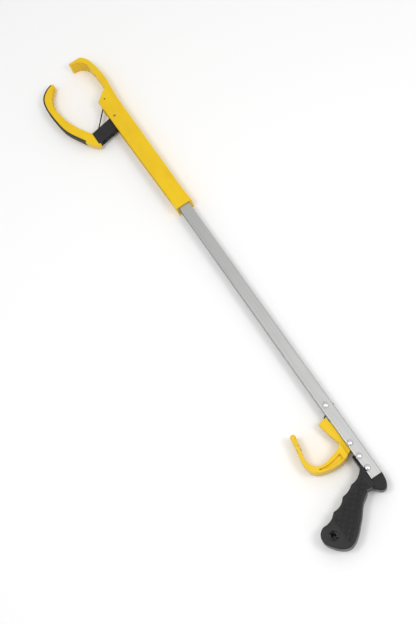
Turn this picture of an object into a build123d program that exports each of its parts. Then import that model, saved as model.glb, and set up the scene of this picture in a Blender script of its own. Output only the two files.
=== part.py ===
"""Reacher grabber lying on its side: squeezing the trigger pulls a cord that closes the lower jaw.

The shaft runs along X, from the jaws at -X to the grip at +X. The trigger and the lower jaw are
on the -Y side of the shaft. The far sides of the head and the grip rest on the plane z = 0. The
origin is on that plane, below the middle of the part.

Head pieces are drawn in head coordinates: x from the jaw tip towards the grip, y from the shaft's
axis, z from its middle plane. Handle pieces are drawn in handle coordinates: x from the rear end
of the grip, so that everything in front of it is negative. The trigger is drawn about its pivot.
"""
from build123d import *
import math
import os

# Overall sizes
OVERALL_LENGTH = 813.0
BODY_WIDTH = 22.0
GRIP_DROP = 97.6
JAW_CROWN = 14.8

# Clearances
SLIP = 0.05
FREE = 0.5

# Aluminium channel
CHANNEL_SIZE = 15.9
CHANNEL_WALL = 1.2
CHANNEL_SLOT = 10.4
CHANNEL_CORNER = 1.6
CHANNEL_FRONT = 158.0
CHANNEL_REAR = -53.0

# Head with the fixed jaw, in head coordinates
HEAD_LENGTH = 308.0
HEAD_ROOF = 3.7
COLLAR_LENGTH = 22.0
COLLAR_RISE = 0.9
CHEEK_FRONT = 73.4
FINGER_UNDERSIDE = 5.0
CHEEK_DROP_FRONT = 15.2
CHEEK_DROP_REAR = 11.4
EXIT_STEP = 0.8
TIP_DROP = 15.5
TIP_THICKNESS = 6.8
TIP_CORNER = 6.0
TOOTH_DEPTH = 1.5
TOOTH_WIDTH = 3.2

# Hinge of the moving jaw
HINGE_X = 124.4
HINGE_Y = -6.9
HINGE_PIN_RADIUS = 2.0
PIN_RECESS = 0.8
ARM_WIDTH = 20.7
ARM_FRONT = 5.9
ARM_LEAN = 9.8
ARM_HEAD_RADIUS = 4.2
JAW_WIDTH = 10.4
SEAT_Y = -48.0
HEEL_LIP = 2.2
PAD_THICKNESS = 2.0
PAD_END = 131.2
JAW_SCREW_RADIUS = 1.5
JAW_SCREW_X = 127.0
JAW_SCREW_SEAT = -58.8
SPRING_RADIUS = 3.0
SPRING_LEG = 9.0
SPRING_TURN = -40.0
THIN_WASHER = 0.4
HINGE_WASHER_RADIUS = 4.2

# Cord and its guides
CORD_RADIUS = 1.0
GUIDE_X = 90.5
GUIDE_Y = -4.6
GUIDE_RADIUS = 2.4
GUIDE_PIN_RADIUS = 1.25
CORD_ENTRY_DOWN = 31.0

# Rivets and the trigger, in handle coordinates
RIVET_RADIUS = 2.0
RIVET_HEAD_RADIUS = 4.3
RIVET_HEAD_HEIGHT = 2.1
REAR_GUIDE_X = -159.5
REAR_GUIDE_Y = -1.0
PIVOT_X = -103.3
RIVET_EDGE = 0.15
GRIP_RIVET_X = (-83.8, -66.6)
BUSH_RADIUS = 3.0
TRIGGER_HUB_RADIUS = 6.5
TRIGGER_WASHER_RADIUS = 5.2
TRIGGER_WEB = 9.6
HOOK_WIDTH = 20.0
HOOK_POCKET_DEPTH = 3.4
NOSE_WALL = 2.6
NOSE_POCKET_WIDTH = 5.0

# Grip, in handle coordinates
TANG_FRONT = -91.0
FLANGE_FRONT = -88.2
FLANGE_THICKNESS = 2.8
HANG_HOLE_X = -21.7
HANG_HOLE_Y = -83.1
HANG_HOLE_RADIUS = 3.6
HANG_RING_RADIUS = 6.2
HANG_RING_DEPTH = 1.2
PANEL_DEPTH = 0.8
CUSP_RADIUS = 4.5
RIM_RADIUS = 1.2
PANEL_BOTTOM = -71.5
PANEL_TOP = -14.0

# Worked out
TIP_X = -OVERALL_LENGTH / 2
BUTT_X = OVERALL_LENGTH / 2
SHAFT_Y = (GRIP_DROP - JAW_CROWN) / 2
HALF = CHANNEL_SIZE / 2
RIVET_Y = RIVET_HEAD_RADIUS + RIVET_EDGE - HALF
MID_Z = BODY_WIDTH / 2
HEAD = Location((TIP_X, SHAFT_Y, MID_Z))
HANDLE = Location((BUTT_X, SHAFT_Y, MID_Z))
PIVOT = Location((BUTT_X + PIVOT_X, SHAFT_Y + RIVET_Y, MID_Z))
INSIDE = CHANNEL_SIZE - 2 * CHANNEL_WALL
CHEEK_GAP = CHANNEL_SIZE + 2 * SLIP
ARM_ROOM = (CHEEK_GAP - JAW_WIDTH) / 2
HINGE = Vector(HINGE_X, HINGE_Y)
GUIDE = Vector(GUIDE_X, GUIDE_Y)
CORD_TURN = GUIDE_RADIUS + CORD_RADIUS + SLIP
REAR_GUIDE = Vector(REAR_GUIDE_X, REAR_GUIDE_Y)


def plate(outline, width, middle=0.0):
    """Thicken an outline in the plane of the jaws evenly to both sides of z = middle."""
    return Pos(0, 0, middle - width / 2) * extrude(outline, amount=width, dir=(0, 0, 1))


def block(x_low, x_high, y_low, y_high, width, middle=0.0):
    """A box between two x and two y values, centred on z = middle."""
    size = (x_high - x_low, y_high - y_low, width)
    return Pos((x_low + x_high) / 2, (y_low + y_high) / 2, middle) * Box(*size)


def round_bar(x, y, radius, length, middle=0.0):
    """A cylinder across the part, along Z."""
    return Pos(x, y, middle) * Cylinder(radius, length)


def arm_point(across, along):
    """A point of the jaw arm in head coordinates, measured from its hinge."""
    return HINGE + Vector(across, along).rotate(Axis.Z, ARM_LEAN)


def arm_foot(across):
    """The x of a line down the jaw arm where it meets the seat in the moving jaw."""
    lean = math.radians(ARM_LEAN)
    return HINGE_X + (across - (SEAT_Y - HINGE_Y) * math.sin(lean)) / math.cos(lean)


def touching_point(start, centre, radius, side):
    """Where a straight line from start touches a circle, on the side given as +1 or -1."""
    way = centre - start
    swing = side * math.degrees(math.asin(radius / way.length))
    reach = math.sqrt(way.length**2 - radius**2)
    return start + way.rotate(Axis.Z, swing).normalized() * reach


def inset(points, depth):
    """Points moved to the left of the line they follow, by depth."""
    moved = []
    for index, point in enumerate(points):
        before = points[max(index - 1, 0)]
        after = points[min(index + 1, len(points) - 1)]
        way = Vector(after[0] - before[0], after[1] - before[1]).normalized()
        moved.append((point[0] - way.Y * depth, point[1] + way.X * depth))
    return moved


def straight_cord(start, end):
    """A round cord between two points of the middle plane."""
    path = Line(start, end)
    return sweep(Plane(path @ 0, z_dir=path % 0) * Circle(CORD_RADIUS), path=path)


def turned_cord(centre, start, middle, end):
    """A round cord that wraps a guide, through three points around its centre."""
    path = ThreePointArc(start, centre + (middle - centre).normalized() * CORD_TURN, end)
    return sweep(Plane(path @ 0, z_dir=path % 0) * Circle(CORD_RADIUS), path=path)


# The cord's way, in head coordinates at the front and handle coordinates at the rear
CORD_ENTRY = arm_point(-ARM_FRONT, -CORD_ENTRY_DOWN)
FRONT_LEAVES = touching_point(CORD_ENTRY, GUIDE, CORD_TURN, 1)
NOSE_ENTRY = Vector(PIVOT_X - 43.6, RIVET_Y - 9.6)
REAR_LEAVES = touching_point(NOSE_ENTRY, REAR_GUIDE, CORD_TURN, -1)
RUN_SPAN = Vector(OVERALL_LENGTH, 0) + REAR_GUIDE - GUIDE
RUN_WAY = RUN_SPAN.normalized()
RUN_OFFSET = RUN_WAY.rotate(Axis.Z, 90) * CORD_TURN
FRONT_ARRIVES = GUIDE + RUN_OFFSET
REAR_ARRIVES = REAR_GUIDE + RUN_OFFSET


def channel():
    """C-section shaft with its slot downwards, bored for the rivets and the head's screws."""
    length = OVERALL_LENGTH + CHANNEL_REAR - CHANNEL_FRONT
    outer = RectangleRounded(CHANNEL_SIZE, CHANNEL_SIZE, CHANNEL_CORNER)
    inner = RectangleRounded(INSIDE, INSIDE, CHANNEL_CORNER - CHANNEL_WALL + 0.2)
    slot = Pos(0, -HALF) * Rectangle(CHANNEL_SLOT, 2 * CHANNEL_WALL + 1)
    section = Plane((0, 0, 0), x_dir=(0, 0, 1), z_dir=(-1, 0, 0)) * (outer - inner - slot)
    bar = HEAD * Pos(CHANNEL_FRONT, 0, 0) * extrude(section, amount=-length)
    for x, y in rivet_places():
        bar -= HANDLE * round_bar(x, y, RIVET_RADIUS, BODY_WIDTH)
    for x in screw_places():
        bar -= HEAD * Pos(x, HALF, 0) * Rot(90, 0, 0) * Cylinder(1.2, 4 * CHANNEL_WALL)
    return bar


def rivet_places():
    """The four rivets in handle coordinates: cord guide, trigger pivot and two in the grip."""
    grip = [(x, RIVET_Y) for x in GRIP_RIVET_X]
    return [(REAR_GUIDE_X, REAR_GUIDE_Y), (PIVOT_X, RIVET_Y)] + grip


def screw_places():
    """Where the two screws hold the head on the channel, in head coordinates."""
    return [CHANNEL_FRONT + 14, HEAD_LENGTH - COLLAR_LENGTH - 8]


def head_outline():
    """Side view of the sleeve, the cheeks and the hooked finger of the fixed jaw."""
    roof = HALF + SLIP + HEAD_ROOF
    step_x = GUIDE_X + 13
    tip_outer = (0, -TIP_DROP)
    tip_inner = (TIP_THICKNESS, -TIP_DROP)
    back = [(106, roof), (78, 13.4), (52.5, JAW_CROWN), (31, 12.6), (13.5, 8.4), (3.0, -0.5), tip_outer]
    belly = [tip_inner, (9.2, -6.5), (16.5, 0.6), (29, 4.2), (48, FINGER_UNDERSIDE + 0.4)]
    belly.append((CHEEK_FRONT, FINGER_UNDERSIDE))
    lower = [
        (CHEEK_FRONT, FINGER_UNDERSIDE),
        (GUIDE_X - 1.5, -CHEEK_DROP_FRONT),
        (step_x, -CHEEK_DROP_FRONT),
        (step_x + EXIT_STEP, -CHEEK_DROP_FRONT + EXIT_STEP),
        (HINGE_X + 20, -CHEEK_DROP_FRONT + EXIT_STEP),
        (HEAD_LENGTH, -CHEEK_DROP_REAR),
        (HEAD_LENGTH, roof + COLLAR_RISE),
        (HEAD_LENGTH - COLLAR_LENGTH * 0.6, roof + COLLAR_RISE * 0.6),
        (HEAD_LENGTH - COLLAR_LENGTH, roof),
        (106, roof),
    ]
    edges = [
        Spline(*back, tangents=[(-1, 0.02), (-0.02, -1)]),
        ThreePointArc(tip_outer, (TIP_THICKNESS / 2, -TIP_DROP - 3.2), tip_inner),
        Spline(*belly, tangents=[(0.02, 1), (1, 0)]),
        Polyline(*lower),
    ]
    return make_face(edges), edges[2]


def teeth(curve, shares, width, flip=1):
    """Grooves across a gripping face, at shares of its outline's length."""
    cutter = Part()
    for share in shares:
        spot = curve @ share
        angle = math.degrees(math.atan2((curve % share).Y, (curve % share).X))
        groove = Polyline((-TOOTH_WIDTH / 2, -0.4), (0, TOOTH_DEPTH), (TOOTH_WIDTH / 2, -0.4), close=True)
        tooth = plate(make_face(groove), width)
        cutter += Pos(spot.X, spot.Y, 0) * Rot(0, 0, angle + (0 if flip > 0 else 180)) * tooth
    return cutter


def fixed_jaw_head():
    """Moulded head: sleeve over the channel, two cheeks and the fixed jaw."""
    outline, belly = head_outline()
    body = plate(outline, BODY_WIDTH)
    plan = Plane.XZ * Pos(HEAD_LENGTH, 0) * RectangleRounded(2 * HEAD_LENGTH, BODY_WIDTH, TIP_CORNER)
    body &= extrude(plan, amount=200, both=True)
    roof_y = HALF + SLIP
    body -= block(CHEEK_FRONT + 2.6, HEAD_LENGTH + 1, -60, roof_y, CHEEK_GAP)
    floor_y = -HALF - SLIP
    lip = block(HEAD_LENGTH - COLLAR_LENGTH, HEAD_LENGTH, -CHEEK_DROP_REAR, floor_y, CHEEK_GAP)
    body += lip
    body -= round_bar(GUIDE_X, GUIDE_Y, GUIDE_PIN_RADIUS, BODY_WIDTH + 2)
    body -= round_bar(HINGE_X, HINGE_Y, HINGE_PIN_RADIUS, BODY_WIDTH + 2)
    for x in screw_places():
        body -= Pos(x, roof_y, 0) * Rot(90, 0, 0) * Cylinder(1.6, 40)
        body -= Pos(x, roof_y + HEAD_ROOF, 0) * Rot(90, 0, 0) * Cylinder(3.2, 3.6)
    body -= teeth(belly, (0.02, 0.09, 0.16, 0.23, 0.30), BODY_WIDTH + 2, -1)
    return HEAD * body


def head_fixing_screws():
    """Two pan-head screws through the sleeve's roof into the channel."""
    screws = Part()
    top = HALF + SLIP + HEAD_ROOF
    for x in screw_places():
        screw = Pos(x, top - 0.9, 0) * Rot(90, 0, 0) * Cylinder(2.9, 1.6)
        screw += Pos(x, top - 4.2, 0) * Rot(90, 0, 0) * Cylinder(1.15, 6.8)
        slot = Pos(x, top - 0.1, 0) * Box(4.4, 0.9, 0.7) + Pos(x, top - 0.1, 0) * Box(0.7, 0.9, 4.4)
        screws += screw - slot
    return HEAD * screws


def jaw_outer_points():
    """The outer side of the moving jaw from its tip to the heel."""
    points = [(12.4, -58.6), (15.2, -66.4), (25.3, -78.1), (40.6, -83.2), (55.9, -83.9)]
    return points + [(76.3, -82.4), (97.2, -78.8), (117.1, -70.2), (137.7, -58.9)]


def jaw_face():
    """Side view of the moving jaw with its outer pad, and the curve of its gripping side."""
    heel_x = arm_foot(ARM_WIDTH - ARM_FRONT) + SLIP
    heel_back = heel_x + HEEL_LIP
    inner = [(arm_foot(-ARM_FRONT), SEAT_Y), (116.4, -53.6), (104.9, -59.6), (94, -64.2), (74.2, -70.0)]
    inner += [(55.6, -72.2), (41, -70.4), (29.3, -64.6), (20.4, -55.6)]
    outer = jaw_outer_points() + [(heel_back, SEAT_Y - 1.8)]
    rim = [outer[-1], (heel_back, SEAT_Y + HEEL_LIP), (heel_x, SEAT_Y + HEEL_LIP), (heel_x, SEAT_Y)]
    rim.append(inner[0])
    edges = [
        Spline(*inner),
        ThreePointArc(inner[-1], (15.0, -54.4), outer[0]),
        Spline(*outer),
        Polyline(*rim),
    ]
    return make_face(edges), edges[0]


def pad_region():
    """Everything outside the line between the moving jaw and its outer pad."""
    line = inset(jaw_outer_points()[:-1], PAD_THICKNESS) + [(PAD_END, -60.6)]
    border = Polyline(line[-1], (PAD_END, -110), (-20, -110), (-20, line[0][1]), line[0])
    return make_face([Spline(*line), border])


def moving_jaw():
    """Curved lower jaw with its heel, a socket for the arm's foot and a rebate for the pad."""
    whole, inner = jaw_face()
    body = plate(whole - pad_region(), JAW_WIDTH)
    body -= teeth(inner, (0.66, 0.72, 0.78, 0.84, 0.90, 0.96), JAW_WIDTH + 2, -1)
    body -= Pos(JAW_SCREW_X, -70, 0) * Rot(90, 0, 0) * Cylinder(JAW_SCREW_RADIUS + 0.1, 60)
    body -= Pos(JAW_SCREW_X, JAW_SCREW_SEAT - 5, 0) * Rot(90, 0, 0) * Cylinder(3.0, 10)
    return HEAD * body


def jaw_outer_pad():
    """Black strip let into the outside of the moving jaw."""
    whole, _ = jaw_face()
    return HEAD * plate(whole & pad_region(), JAW_WIDTH)


def jaw_fixing_screw():
    """Screw from under the pad, through the heel and into the arm's foot."""
    screw = Pos(JAW_SCREW_X, JAW_SCREW_SEAT - 0.8, 0) * Rot(90, 0, 0) * Cylinder(2.8, 1.6)
    screw += Pos(JAW_SCREW_X, JAW_SCREW_SEAT + 9, 0) * Rot(90, 0, 0) * Cylinder(JAW_SCREW_RADIUS, 18)
    return HEAD * screw


def jaw_arm():
    """Black arm that hangs from the hinge, carries the jaw and takes the cord's knot."""
    rear = ARM_WIDTH - ARM_FRONT
    top = [(-ARM_FRONT, 0), (-ARM_FRONT, -60), (rear, -60), (rear, -8), (rear - 5, -2), (3, 3)]
    shape = make_face(Polyline(*top, close=True)) + Circle(ARM_HEAD_RADIUS)
    body = plate(shape, JAW_WIDTH)
    body -= round_bar(0, 0, HINGE_PIN_RADIUS + SLIP, BODY_WIDTH)
    entry = Pos(0, -CORD_ENTRY_DOWN, 0) * Rot(0, 90, 0) * Cylinder(CORD_RADIUS + FREE, 40)
    body -= entry
    body -= block(5.5, rear + 1, -38.5, -19, JAW_WIDTH - 4)
    body = Pos(HINGE_X, HINGE_Y, 0) * Rot(0, 0, ARM_LEAN) * body
    body &= block(60, 200, SEAT_Y, 30, BODY_WIDTH)
    body -= Pos(JAW_SCREW_X, SEAT_Y, 0) * Rot(90, 0, 0) * Cylinder(JAW_SCREW_RADIUS, 2 * 7.2)
    return HEAD * body


def jaw_cord_knot():
    """The cord's last stretch through the arm, its stopper knot and its tail."""
    start = arm_point(-ARM_FRONT + 0.2, -CORD_ENTRY_DOWN)
    end = arm_point(9.0, -CORD_ENTRY_DOWN)
    lumps = Part()
    for across, along, size in ((9.4, -29.6, 3.0), (12.2, -32.4, 2.8), (15.2, -29.8, 2.4)):
        spot = arm_point(across, along)
        lumps += Pos(spot.X, spot.Y, 0) * Sphere(size)
    return HEAD * (lumps + straight_cord(start, end))


def jaw_hinge_pin():
    """Steel pin through both cheeks and the arm."""
    return HEAD * round_bar(HINGE_X, HINGE_Y, HINGE_PIN_RADIUS, BODY_WIDTH - 2 * PIN_RECESS)


def jaw_hinge_washers():
    """A washer on the near side of the arm and a thin one beyond the spring."""
    thick = ARM_ROOM - 2 * SLIP
    ring = round_bar(HINGE_X, HINGE_Y, HINGE_WASHER_RADIUS, thick, JAW_WIDTH / 2 + SLIP + thick / 2)
    thin_z = -CHEEK_GAP / 2 + SLIP + THIN_WASHER / 2
    thin = round_bar(HINGE_X, HINGE_Y, HINGE_WASHER_RADIUS, THIN_WASHER, thin_z)
    hole = round_bar(HINGE_X, HINGE_Y, HINGE_PIN_RADIUS + SLIP, BODY_WIDTH)
    return HEAD * (ring + thin - hole)


def jaw_return_spring():
    """Torsion spring round the hinge pin: one leg under the roof and one beside the arm."""
    room = ARM_ROOM - THIN_WASHER - 4 * SLIP
    pitch = (room + SLIP) / 2
    wire = (pitch - SLIP) / 2
    low = SLIP + JAW_WIDTH / 2 + room
    coil = Helix(pitch, pitch, SPRING_RADIUS)
    body = sweep(Plane(coil @ 0, z_dir=coil % 0) * Circle(wire), path=coil, is_frenet=True)
    body += Pos(SPRING_RADIUS, -SPRING_LEG / 2, 0) * Rot(90, 0, 0) * Cylinder(wire, SPRING_LEG)
    body += Pos(SPRING_RADIUS, SPRING_LEG / 2, pitch) * Rot(90, 0, 0) * Cylinder(wire, SPRING_LEG)
    return HEAD * Pos(HINGE_X, HINGE_Y, wire - low) * Rot(0, 0, SPRING_TURN) * body


def cord_guide_pin():
    """Black pin across the cheeks that the cord turns round, thicker between them."""
    pin = round_bar(GUIDE_X, GUIDE_Y, GUIDE_PIN_RADIUS, BODY_WIDTH - 2 * PIN_RECESS)
    pin += round_bar(GUIDE_X, GUIDE_Y, GUIDE_RADIUS, CHEEK_GAP - 2 * SLIP)
    return HEAD * pin


def pull_cord_run():
    """The cord's straight run inside the channel, from guide to guide."""
    start = HEAD.position + FRONT_ARRIVES + RUN_WAY * SLIP
    end = HANDLE.position + REAR_ARRIVES - RUN_WAY * SLIP
    return straight_cord(start, end)


def pull_cord_jaw_turn():
    """The cord's turn round the front guide."""
    middle = GUIDE + Vector(-1, 0.25)
    return HEAD * turned_cord(GUIDE, FRONT_ARRIVES, middle, FRONT_LEAVES)


def pull_cord_trigger_turn():
    """The cord's turn round the rear guide."""
    half_way = (REAR_ARRIVES + REAR_LEAVES) * 0.5
    return HANDLE * turned_cord(REAR_GUIDE, REAR_ARRIVES, half_way, REAR_LEAVES)


def pull_cord_jaw_end():
    """The cord from just past the front guide down to the jaw arm."""
    way = (FRONT_LEAVES - CORD_ENTRY).normalized()
    start = CORD_ENTRY + way * (CORD_RADIUS + FREE)
    return HEAD * straight_cord(start, FRONT_LEAVES - way * SLIP)


def pull_cord_trigger_end():
    """The cord from the rear guide down to the trigger's nose."""
    way = (REAR_LEAVES - NOSE_ENTRY).normalized()
    start = NOSE_ENTRY + way * (CORD_RADIUS + 2 * FREE)
    return HANDLE * straight_cord(start, REAR_LEAVES - way * SLIP)


def domed_rivet(x, y):
    """A rivet across the channel with a domed head on each side."""
    rivet = round_bar(x, y, RIVET_RADIUS, CHANNEL_SIZE)
    ball = (RIVET_HEAD_RADIUS**2 + RIVET_HEAD_HEIGHT**2) / (2 * RIVET_HEAD_HEIGHT)
    for side in (1, -1):
        dome = Pos(x, y, side * (HALF + RIVET_HEAD_HEIGHT - ball)) * Sphere(ball)
        keep = round_bar(x, y, RIVET_HEAD_RADIUS, RIVET_HEAD_HEIGHT + 1)
        rivet += dome & Pos(0, 0, side * (HALF + (RIVET_HEAD_HEIGHT + 1) / 2)) * keep
    return rivet


def rear_guide_rivet():
    """Rivet that carries the rear cord guide."""
    return HANDLE * domed_rivet(REAR_GUIDE_X, REAR_GUIDE_Y)


def rear_guide_spacer():
    """Tube on the guide rivet that holds the channel's walls apart and turns the cord."""
    tube = round_bar(REAR_GUIDE_X, REAR_GUIDE_Y, GUIDE_RADIUS, INSIDE - 2 * SLIP)
    return HANDLE * (tube - round_bar(REAR_GUIDE_X, REAR_GUIDE_Y, RIVET_RADIUS, INSIDE))


def trigger_pivot_rivet():
    """Rivet that the trigger turns about."""
    return HANDLE * domed_rivet(PIVOT_X, RIVET_Y)


def trigger_pivot_bush():
    """Steel bush on the pivot rivet, clamped between the channel's walls."""
    tube = round_bar(PIVOT_X, RIVET_Y, BUSH_RADIUS, INSIDE - 2 * SLIP)
    return HANDLE * (tube - round_bar(PIVOT_X, RIVET_Y, RIVET_RADIUS, INSIDE))


def trigger_washers():
    """Washers beside the trigger's hub, each with a flat that clears the channel's lip."""
    gap = (INSIDE - TRIGGER_WEB) / 2
    thick = gap - 2 * SLIP
    rings = Part()
    for side in (1, -1):
        middle = side * (TRIGGER_WEB / 2 + SLIP + thick / 2)
        rings += round_bar(PIVOT_X, RIVET_Y, TRIGGER_WASHER_RADIUS, thick, middle)
    rings -= round_bar(PIVOT_X, RIVET_Y, BUSH_RADIUS + SLIP, BODY_WIDTH)
    return HANDLE * (rings & block(-OVERALL_LENGTH, 0, FREE - INSIDE / 2, INSIDE / 2, INSIDE))


def grip_rivets():
    """The two rivets through the channel and the handle's tang."""
    return HANDLE * (domed_rivet(GRIP_RIVET_X[0], RIVET_Y) + domed_rivet(GRIP_RIVET_X[1], RIVET_Y))


def hook_face():
    """Side view of the finger hook below the channel, about the trigger's pivot."""
    inner = [(-8.4, -10.6), (-2.6, -15.5), (1.2, -26.5), (4.0, -38.5), (1.4, -50.0), (-8.7, -56.0)]
    inner += [(-20.7, -55.6), (-31.5, -53.2), (-42.6, -50.8)]
    outer = [(-44.4, -57.3), (-36.1, -58.0), (-20.5, -61.0), (-4.8, -61.8), (6.2, -56.8)]
    outer += [(12.8, -42.2), (14.8, -30.0), (13.6, -17.4), (11.2, -10.6)]
    edges = [
        Spline(*inner, tangents=[(0.9, -0.45), (-0.98, 0.2)]),
        ThreePointArc(inner[-1], (-48.4, -53.6), outer[0]),
        Spline(*outer),
        Line(outer[-1], inner[0]),
    ]
    return make_face(edges)


def trigger_lever():
    """Trigger: a nose that takes the cord, a hub in the channel and a hook for the fingers."""
    nose = [(-44.1, -6.4), (-41.8, -18.5), (-22.8, -14.9), (-8.4, -10.6), (6.4, -14), (9.4, -9.6)]
    nose += [(6.3, -2), (0, TRIGGER_HUB_RADIUS - 0.4), (-14, 4.6), (-30, -1.6), (-37, -4.6)]
    web = make_face(Polyline(*nose, close=True)) + Circle(TRIGGER_HUB_RADIUS)
    body = plate(web, TRIGGER_WEB) + plate(hook_face(), HOOK_WIDTH)
    finger_side = Spline((4.2, -17.5), (6.4, -27.5), (7.6, -38.0), (6.0, -48.5))
    palm_side = Spline((7.2, -49.6), (10.3, -41.4), (12.3, -30.0), (11.4, -17.5))
    ends = [Line(finger_side @ 1, palm_side @ 0), Line(palm_side @ 1, finger_side @ 0)]
    core = make_face([finger_side, palm_side] + ends)
    for side in (1, -1):
        middle = side * (HOOK_WIDTH / 2 - HOOK_POCKET_DEPTH / 2 + 0.01)
        body -= plate(core, HOOK_POCKET_DEPTH, middle)
    body -= round_bar(0, 0, BUSH_RADIUS + SLIP, BODY_WIDTH)
    back = -42.8 + NOSE_WALL
    body -= block(back, back + 10, -14.5, 10, NOSE_POCKET_WIDTH)
    start = Vector(-43.6, -9.6)
    body -= Pos(start.X, start.Y, 0) * Rot(0, 90, 0) * Cylinder(CORD_RADIUS + FREE, 9)
    return PIVOT * body


def trigger_cord_knot():
    """The cord's end through the trigger's nose, with its stopper knot in the pocket."""
    lumps = Pos(-37.2, -9.6, 0) * Sphere(2.3) + Pos(-34.4, -8.4, 0) * Sphere(1.9)
    return PIVOT * (lumps + straight_cord(Vector(-43.2, -9.6), Vector(-37.0, -9.6)))


def grip_face():
    """Side view of the pistol grip below the channel, with scallops for three fingers."""
    underside = -HALF - SLIP
    cusps = [(-60.4, -31.5), (-54.0, -48.6), (-45.4, -67.6), (-37.0, -86.4)]
    dips = [(-55.6, -39.4), (-46.4, -57.6), (-38.4, -76.4)]
    back = [(-23.6, -GRIP_DROP), (-14.5, -94.0), (-3.6, -84.0), (0.0, -75.4), (-3.0, -64.4)]
    back += [(-14.4, -50.6), (-25.4, -40.0), (-36.0, -30.0), (-43.4, -20.0), (-43.6, -11.5)]
    edges = [
        ThreePointArc((-73.0, underside - FLANGE_THICKNESS), (-63.6, -19.4), cusps[0]),
        ThreePointArc(cusps[0], dips[0], cusps[1]),
        ThreePointArc(cusps[1], dips[1], cusps[2]),
        ThreePointArc(cusps[2], dips[2], cusps[3]),
        ThreePointArc(cusps[3], (-32.6, -94.4), back[0]),
        Spline(*back, tangents=[(1, 0), (0.2, 1)]),
        Polyline(back[-1], (-43.6, underside), (-73.0, underside), (-73.0, underside - FLANGE_THICKNESS)),
    ]
    return make_face(edges)


def plug_face():
    """Side view of the end plug behind the channel, with its tail over the thumb's web."""
    points = [(CHANNEL_REAR, -HALF), (-43.6, -12.5), (-38.5, -9.0), (-34.6, -4.4), (-34.0, -0.6)]
    points += [(-36.6, 3.6), (-42.5, 6.4), (CHANNEL_REAR, HALF)]
    curve = Spline(*points[1:], tangents=[(1, 0.3), (-1, 0.1)])
    rest = Polyline(points[-1], points[0], points[1])
    return make_face([curve, rest])


def panel_face():
    """The textured panel on each side of the grip."""
    front = [(-59.5, PANEL_TOP), (-51.5, -38.5), (-42.6, -56.5), (-36.8, PANEL_BOTTOM)]
    back = [(-5.5, PANEL_BOTTOM), (-7.0, -66.0), (-17.4, -53.6), (-28.3, -43.0), (-39.0, -33.0)]
    back += [(-46.9, -22.5), (-47.8, PANEL_TOP)]
    return make_face(Polyline(*front, *back, close=True))


def handle_grip():
    """Black moulding: tang in the channel, flange under it, end plug and pistol grip."""
    outline = grip_face()
    cusps = outline.vertices().filter_by(lambda v: -62 < v.X < -30 and -90 < v.Y < -20)
    body = plate(fillet(cusps, CUSP_RADIUS), BODY_WIDTH)
    rims = body.edges().filter_by(lambda e: abs(abs(e.center().Z) - BODY_WIDTH / 2) < 0.01)
    body = fillet(rims.filter_by(lambda e: e.center().Y < -HALF - 5), RIM_RADIUS)
    low = -HALF - SLIP
    body += block(FLANGE_FRONT, -43.6, low - FLANGE_THICKNESS, low, CHANNEL_SIZE)
    plug = plate(plug_face(), CHANNEL_SIZE)
    plug_rims = plug.edges().filter_by(lambda e: abs(abs(e.center().Z) - HALF) < 0.01)
    body += fillet(plug_rims.filter_by(lambda e: e.center().X > CHANNEL_REAR + 4), 2.0)
    tang_half = INSIDE / 2 - 4 * SLIP
    body += block(TANG_FRONT, CHANNEL_REAR + 0.2, -tang_half, tang_half, 2 * tang_half)
    body += block(FLANGE_FRONT, CHANNEL_REAR, low - 1, -tang_half + 1, CHANNEL_SLOT - 4 * SLIP)
    body += block(CHANNEL_REAR + SLIP, -43.6, low - 3, 0, CHANNEL_SIZE)
    for x in GRIP_RIVET_X:
        body -= round_bar(x, RIVET_Y, RIVET_RADIUS, BODY_WIDTH)
    body -= round_bar(HANG_HOLE_X, HANG_HOLE_Y, HANG_HOLE_RADIUS, BODY_WIDTH + 2)
    for side in (1, -1):
        sunk = BODY_WIDTH / 2 - HANG_RING_DEPTH / 2 + 0.01
        body -= round_bar(HANG_HOLE_X, HANG_HOLE_Y, HANG_RING_RADIUS, HANG_RING_DEPTH, side * sunk)
        panel_z = side * (BODY_WIDTH / 2 - PANEL_DEPTH / 2 + 0.01)
        body -= plate(panel_face(), PANEL_DEPTH, panel_z)
    return HANDLE * body


SUB_PARTS = {
    "shaft_channel": channel,
    "fixed_jaw_head": fixed_jaw_head,
    "head_fixing_screws": head_fixing_screws,
    "jaw_hinge_pin": jaw_hinge_pin,
    "jaw_hinge_washers": jaw_hinge_washers,
    "jaw_return_spring": jaw_return_spring,
    "cord_guide_pin": cord_guide_pin,
    "jaw_arm": jaw_arm,
    "moving_jaw": moving_jaw,
    "jaw_outer_pad": jaw_outer_pad,
    "jaw_fixing_screw": jaw_fixing_screw,
    "jaw_cord_knot": jaw_cord_knot,
    "pull_cord_run": pull_cord_run,
    "pull_cord_jaw_turn": pull_cord_jaw_turn,
    "pull_cord_trigger_turn": pull_cord_trigger_turn,
    "pull_cord_jaw_end": pull_cord_jaw_end,
    "pull_cord_trigger_end": pull_cord_trigger_end,
    "rear_guide_rivet": rear_guide_rivet,
    "rear_guide_spacer": rear_guide_spacer,
    "trigger_pivot_rivet": trigger_pivot_rivet,
    "trigger_pivot_bush": trigger_pivot_bush,
    "trigger_washers": trigger_washers,
    "trigger_lever": trigger_lever,
    "trigger_cord_knot": trigger_cord_knot,
    "grip_rivets": grip_rivets,
    "handle_grip": handle_grip,
}


def build():
    """Make every sub-part and write it to its own file."""
    os.makedirs("parts", exist_ok=True)
    for name, make in SUB_PARTS.items():
        export_step(make(), f"parts/{name}.step")


if __name__ == "__main__":
    build()
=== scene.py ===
"""Reacher grabber: the visible model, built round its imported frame.

The grabber lies on its side. +X runs along the shaft from the jaws to the grip, -Y is the side of
the trigger and the lower jaw, and +Z points up through the part's width. Lengths are in metres,
and sizes that a maker would give in millimetres are multiplied by MM.
"""
import logging
import math
from dataclasses import dataclass, field
from enum import Enum
from typing import Callable, Iterator, Sequence

import bmesh
import bpy
from mathutils import Matrix, Vector
from mathutils.kdtree import KDTree


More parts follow.
